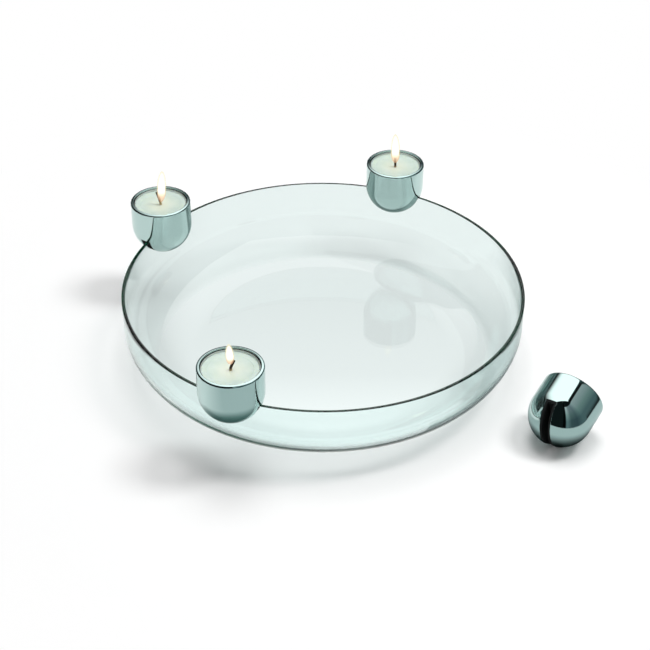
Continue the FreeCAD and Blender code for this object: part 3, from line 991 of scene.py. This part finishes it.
for place in PLACES:
    body = f"tealight_{place}"
    cup = turned("cup", cup_shell, FOIL, CUP_TURN_STEPS, flutes=FLUTES, flute_depth=FLUTE_DEPTH,
                 flute_low=base_centre[1], flute_high=bead_start)
    cup = placed(cup, UPRIGHT[place])
    keep(f"foil_cup_{place}", cup, body, f"tealight_cup_{place}")
    fill = placed(turned("wax", wax_body, WAX, WAX_TURN_STEPS), UPRIGHT[place])
    keep(f"wax_fill_{place}", fill, body, f"wax_{place}")

# %% [markdown]
# ## The sustainers
#
# The little tinned plate that holds each wick upright is sunk in the wax. Its CAD shape is
# kept, and only its finish is added, because it shows when the model is taken apart.

# %% Tinned plate material
TIN_SPANGLE_SCALE = 700.0
TIN_TONES = [(0.1, (0.45, 0.46, 0.45)), (0.8, (0.66, 0.67, 0.65))]


def tin(tree):
    """Dull plate with the spangle of tin."""
    spangle = add(tree, "ShaderNodeTexVoronoi", {"Vector": own_place(tree), "Scale": TIN_SPANGLE_SCALE})
    return {
        "Base Color": ramp(tree, spangle.outputs["Distance"], TIN_TONES),
        "Metallic": 1.0,
        "Roughness": 0.36,
    }


TIN = one_shader("tinned_plate", tin)
for place in PLACES:
    dress(f"wick_sustainer_{place}", TIN, "tinned_plate")

# %% [markdown]
# ## The wicks
#
# A wick is a cotton braid, about 1.9 mm thick, that bends over and chars as it burns. The tree
# below copies one path six times, winds three copies to the left and three to the right about
# it, and gives each a round section, which is what a round braid looks like.

# %% Build the braid tree
WEAVE_WAVES = 3.0
WEAVE_DEPTH_SHARE = 0.12
STRAND_SIDES = 8


def braid_tree():
    """Winds strands about the path in the object's own mesh, half of them each way."""
    tree = bpy.data.node_groups.new("braid", "GeometryNodeTree")
    given = inputs_of(tree, [
        ("Path", "NodeSocketGeometry"), ("Strands", "NodeSocketInt"), ("Turns", "NodeSocketFloat"),
        ("Points", "NodeSocketInt"), ("Braid radius", "NodeSocketFloat"),
        ("Strand radius", "NodeSocketFloat"), ("Finish", "NodeSocketMaterial"),
    ])
    tree.interface.new_socket("Braid", in_out="OUTPUT", socket_type="NodeSocketGeometry")
    line = add(tree, "GeometryNodeMeshToCurve", {0: given["Path"]}).outputs[0]
    even = add(tree, "GeometryNodeResampleCurve", {"Curve": line, "Count": given["Points"]}).outputs[0]
    copies = add(tree, "GeometryNodeDuplicateElements", {
        "Geometry": even, "Amount": given["Strands"]}, domain="SPLINE")
    number = copies.outputs["Duplicate Index"]
    share = add(tree, "GeometryNodeSplineParameter").outputs["Factor"]
    hand = maths(tree, "MULTIPLY_ADD", maths(tree, "MODULO", number, 2.0), 2.0, -1.0)
    turn = maths(tree, "MULTIPLY", maths(tree, "MULTIPLY", share, given["Turns"]), hand)
    start = maths(tree, "DIVIDE", number, given["Strands"])
    angle = maths(tree, "MULTIPLY", maths(tree, "ADD", turn, start), 2 * math.pi)
    along = add(tree, "GeometryNodeInputTangent").outputs[0]
    out = add(tree, "GeometryNodeInputNormal").outputs[0]
    across = add(tree, "ShaderNodeVectorMath", {0: along, 1: out}, operation="CROSS_PRODUCT").outputs[0]
    wave = maths(tree, "COSINE", maths(tree, "MULTIPLY", angle, WEAVE_WAVES))
    weave = maths(tree, "MULTIPLY_ADD", wave, WEAVE_DEPTH_SHARE, 1.0)
    reach = maths(tree, "MULTIPLY", given["Braid radius"], weave)
    sides = [
        add(tree, "ShaderNodeVectorMath", {
            0: side, "Scale": maths(tree, "MULTIPLY", reach, maths(tree, swing, angle)),
        }, operation="SCALE").outputs[0]
        for side, swing in ((out, "COSINE"), (across, "SINE"))
    ]
    offset = add(tree, "ShaderNodeVectorMath", {0: sides[0], 1: sides[1]}, operation="ADD").outputs[0]
    wound = add(tree, "GeometryNodeSetPosition", {
        "Geometry": copies.outputs["Geometry"], "Offset": offset}).outputs[0]
    marked = add(tree, "GeometryNodeStoreNamedAttribute", {
        "Geometry": wound, "Name": "along", "Value": share,
    }, data_type="FLOAT", domain="POINT").outputs[0]
    section = add(tree, "GeometryNodeCurvePrimitiveCircle", {
        "Resolution": STRAND_SIDES, "Radius": given["Strand radius"]}).outputs["Curve"]
    strands = add(tree, "GeometryNodeCurveToMesh", {
        "Curve": marked, "Profile Curve": section, "Fill Caps": True}).outputs[0]
    end_tree(tree, strands, given["Finish"])
    return tree


BRAID = braid_tree()
print("braid tree:", len(BRAID.nodes), "nodes")

# %% Wick material
WICK_TONES = [
    (0.0, (0.72, 0.66, 0.50)), (0.62, (0.50, 0.38, 0.20)),
    (0.72, (0.045, 0.025, 0.014)), (1.0, (0.012, 0.009, 0.008)),
]
SOOT_SCALE = 2500.0
SOOT_SHIFT = 0.12
SOOT_DEPTH = 0.05 * MM


def wick(tree):
    """Waxed cotton below and char above, with a ragged line between them."""
    along = add(tree, "ShaderNodeAttribute", attribute_name="along").outputs["Fac"]
    soot = noise(tree, own_place(tree), SOOT_SCALE, detail=3.0)
    ragged = maths(tree, "ADD", along, maths(tree, "MULTIPLY_ADD", soot, SOOT_SHIFT, -SOOT_SHIFT / 2))
    return {
        "Base Color": ramp(tree, ragged, WICK_TONES),
        "Roughness": 0.85,
        "Sheen Weight": 0.15,
        "Normal": bumped(tree, soot, strength=0.5, distance=SOOT_DEPTH),
    }


COTTON = one_shader("wick_braid", wick)

# %% Braid the wicks
WICK_BEND_RADIUS = 4.0 * MM
WICK_BEND_STEPS = 6
WICK_RADIUS = 0.95 * MM
STRAND_RADIUS = 0.36 * MM
BRAIDING = {
    "Strands": 6, "Turns": 5.0, "Points": 140, "Braid radius": WICK_RADIUS - STRAND_RADIUS,
    "Strand radius": STRAND_RADIUS, "Finish": COTTON,
}
WICKS = {
    "front": {"height": 6.9 * MM, "lean": 22.0, "side": 1},
    "left": {"height": 10.0 * MM, "lean": 14.5, "side": -1},
    "rear": {"height": 7.2 * MM, "lean": 2.0, "side": -1},
}


def wick_path(height, lean, side):
    """Straight up from the cup's floor, over a bend, then on at the lean."""
    angle = math.radians(lean)
    bend_start = POOL_FLOOR + WICK_RADIUS
    path = [(0.0, 0.0, WAX_FLOOR), (0.0, 0.0, bend_start)]
    for i in range(1, WICK_BEND_STEPS + 1):
        a = angle * i / WICK_BEND_STEPS
        path.append((side * WICK_BEND_RADIUS * (1 - math.cos(a)), 0.0,
                     bend_start + WICK_BEND_RADIUS * math.sin(a)))
    last = path[-1]
    rest = (WAX_LEVEL + height - last[2]) / math.cos(angle)
    path.append((last[0] + side * rest * math.sin(angle), 0.0, last[2] + rest * math.cos(angle)))
    return path


for place in PLACES:
    braid = run_tree(BRAID, "braid", wick_path(**WICKS[place]), BRAIDING)
    wick = placed(braid, UPRIGHT[place])
    keep(f"braided_wick_{place}", wick, f"tealight_{place}", f"wick_{place}")

# %% [markdown]
# ## The flames
#
# A small flame is a teardrop of glowing vapour. Seen against white it is almost white itself,
# with a yellow skin and a peach-coloured foot where it wraps the wick. Two shapes make it: a
# bright heart, and a thin clear mantle round it. Neither throws a shadow: for shadow rays
# both are plain air.

# %% Flame materials
def flame_finish(name, tones, strength, clearness):
    """A glow with its tones and clearness along its height, and no shadow."""
    finish, tree = new_finish(name)
    along = add(tree, "ShaderNodeAttribute", attribute_name="along").outputs["Fac"]
    glow = add(tree, "ShaderNodeBsdfPrincipled", {
        "Base Color": grey(0.0),
        "Roughness": 1.0,
        "Specular IOR Level": 0.0,
        "Emission Color": ramp(tree, along, tones, "EASE"),
        "Emission Strength": strength,
        "Alpha": ramp(tree, along, [(place, (value,) * 3) for place, value in clearness], "EASE"),
    })
    shadow = add(tree, "ShaderNodeLightPath").outputs["Is Shadow Ray"]
    clear = add(tree, "ShaderNodeBsdfTransparent")
    mixed = mix_shaders(tree, shadow, glow.outputs[0], clear.outputs[0])
    add(tree, "ShaderNodeOutputMaterial", {"Surface": mixed})
    print(f"{name}: {len(tree.nodes)} nodes")
    return finish


HEART_TONES = [
    (0.0, (0.95, 0.60, 0.30)), (0.22, (1.0, 0.88, 0.66)),
    (0.4, (1.0, 0.98, 0.88)), (1.0, (1.0, 0.97, 0.85)),
]
MANTLE_TONES = [
    (0.0, (0.86, 0.50, 0.28)), (0.2, (0.95, 0.62, 0.38)),
    (0.42, (1.0, 0.88, 0.55)), (1.0, (1.0, 0.90, 0.58)),
]
HEART_CLEARNESS = [(0.0, 0.0), (0.12, 0.15), (0.36, 1.0)]
MANTLE_CLEARNESS = [(0.0, 0.35), (0.2, 0.5), (0.42, 0.34), (1.0, 0.4)]
HEART = flame_finish("flame_heart", HEART_TONES, 1.5, HEART_CLEARNESS)
MANTLE = flame_finish("flame_mantle", MANTLE_TONES, 1.0, MANTLE_CLEARNESS)

# %% Shape the flames
FLAMES = {
    "front": {"base": 4.1 * MM, "top": 19.6 * MM, "radius": 2.8 * MM, "shift": 0.2 * MM, "lean": -3.0},
    "left": {"base": 1.8 * MM, "top": 27.7 * MM, "radius": 3.4 * MM, "shift": 0.4 * MM, "lean": 5.0},
    "rear": {"base": 3.0 * MM, "top": 27.8 * MM, "radius": 3.5 * MM, "shift": 0.0, "lean": -1.5},
}
BELLY_SHARE = 0.4
SHOULDER_SHARE = 0.5
NECK_SHARE = 0.55
NECK_HEIGHT_SHARE = 0.98
HEART_INSET_SHARE = 0.22
FOOT_STEPS, TIP_STEPS, FLAME_TURN_STEPS = 12, 24, 48


def flame_profile(base, top, radius):
    """A quarter oval below the belly, and a curve drawn out to the tip above it."""
    belly = base + BELLY_SHARE * (top - base)
    above = top - belly
    poles = [(radius, belly), (radius, belly + SHOULDER_SHARE * above),
             (NECK_SHARE * radius, belly + NECK_HEIGHT_SHARE * above), (0.0, top)]
    points = oval_points((0.0, belly), radius, belly - base, -90, 0, FOOT_STEPS)
    for i in range(1, TIP_STEPS + 1):
        t = i / TIP_STEPS
        weights = ((1 - t) ** 3, 3 * t * (1 - t) ** 2, 3 * t * t * (1 - t), t ** 3)
        points.append(tuple(sum(w * pole[k] for w, pole in zip(weights, poles)) for k in (0, 1)))
    return points


def flame_mesh(name, finish, base, top, radius, shift, lean, inset_share):
    """One teardrop, leaned about its foot, with its height share stored for the material."""
    inset = inset_share * radius
    profile = flame_profile(base + inset, top - 2 * inset, radius - inset)
    mesh = turned(name, profile, finish, FLAME_TURN_STEPS)
    points = np.empty(len(mesh.vertices) * 3)
    mesh.vertices.foreach_get("co", points)
    share = (points[2::3] - base) / (top - base)
    mesh.attributes.new("along", "FLOAT", "POINT").data.foreach_set("value", share.astype(np.float32))
    foot = Vector((0.0, 0.0, base))
    mesh.transform(Matrix.Translation((shift, 0, 0)) @ Matrix.Translation(foot)
                   @ Matrix.Rotation(math.radians(lean), 4, "Y") @ Matrix.Translation(-foot))
    return mesh


for place in PLACES:
    shape = dict(FLAMES[place])
    shape["base"] += WAX_LEVEL
    shape["top"] += WAX_LEVEL
    for name, finish, inset in ((HEART.name, HEART, HEART_INSET_SHARE), (MANTLE.name, MANTLE, 0.0)):
        flame = placed(flame_mesh(name, finish, inset_share=inset, **shape), UPRIGHT[place])
        keep(f"{name}_{place}", flame, f"tealight_{place}", f"flame_{place}")

# %% [markdown]
# ## Finish
#
# The last line brings the scene up to date.

# %% Finish
bpy.context.view_layer.update()
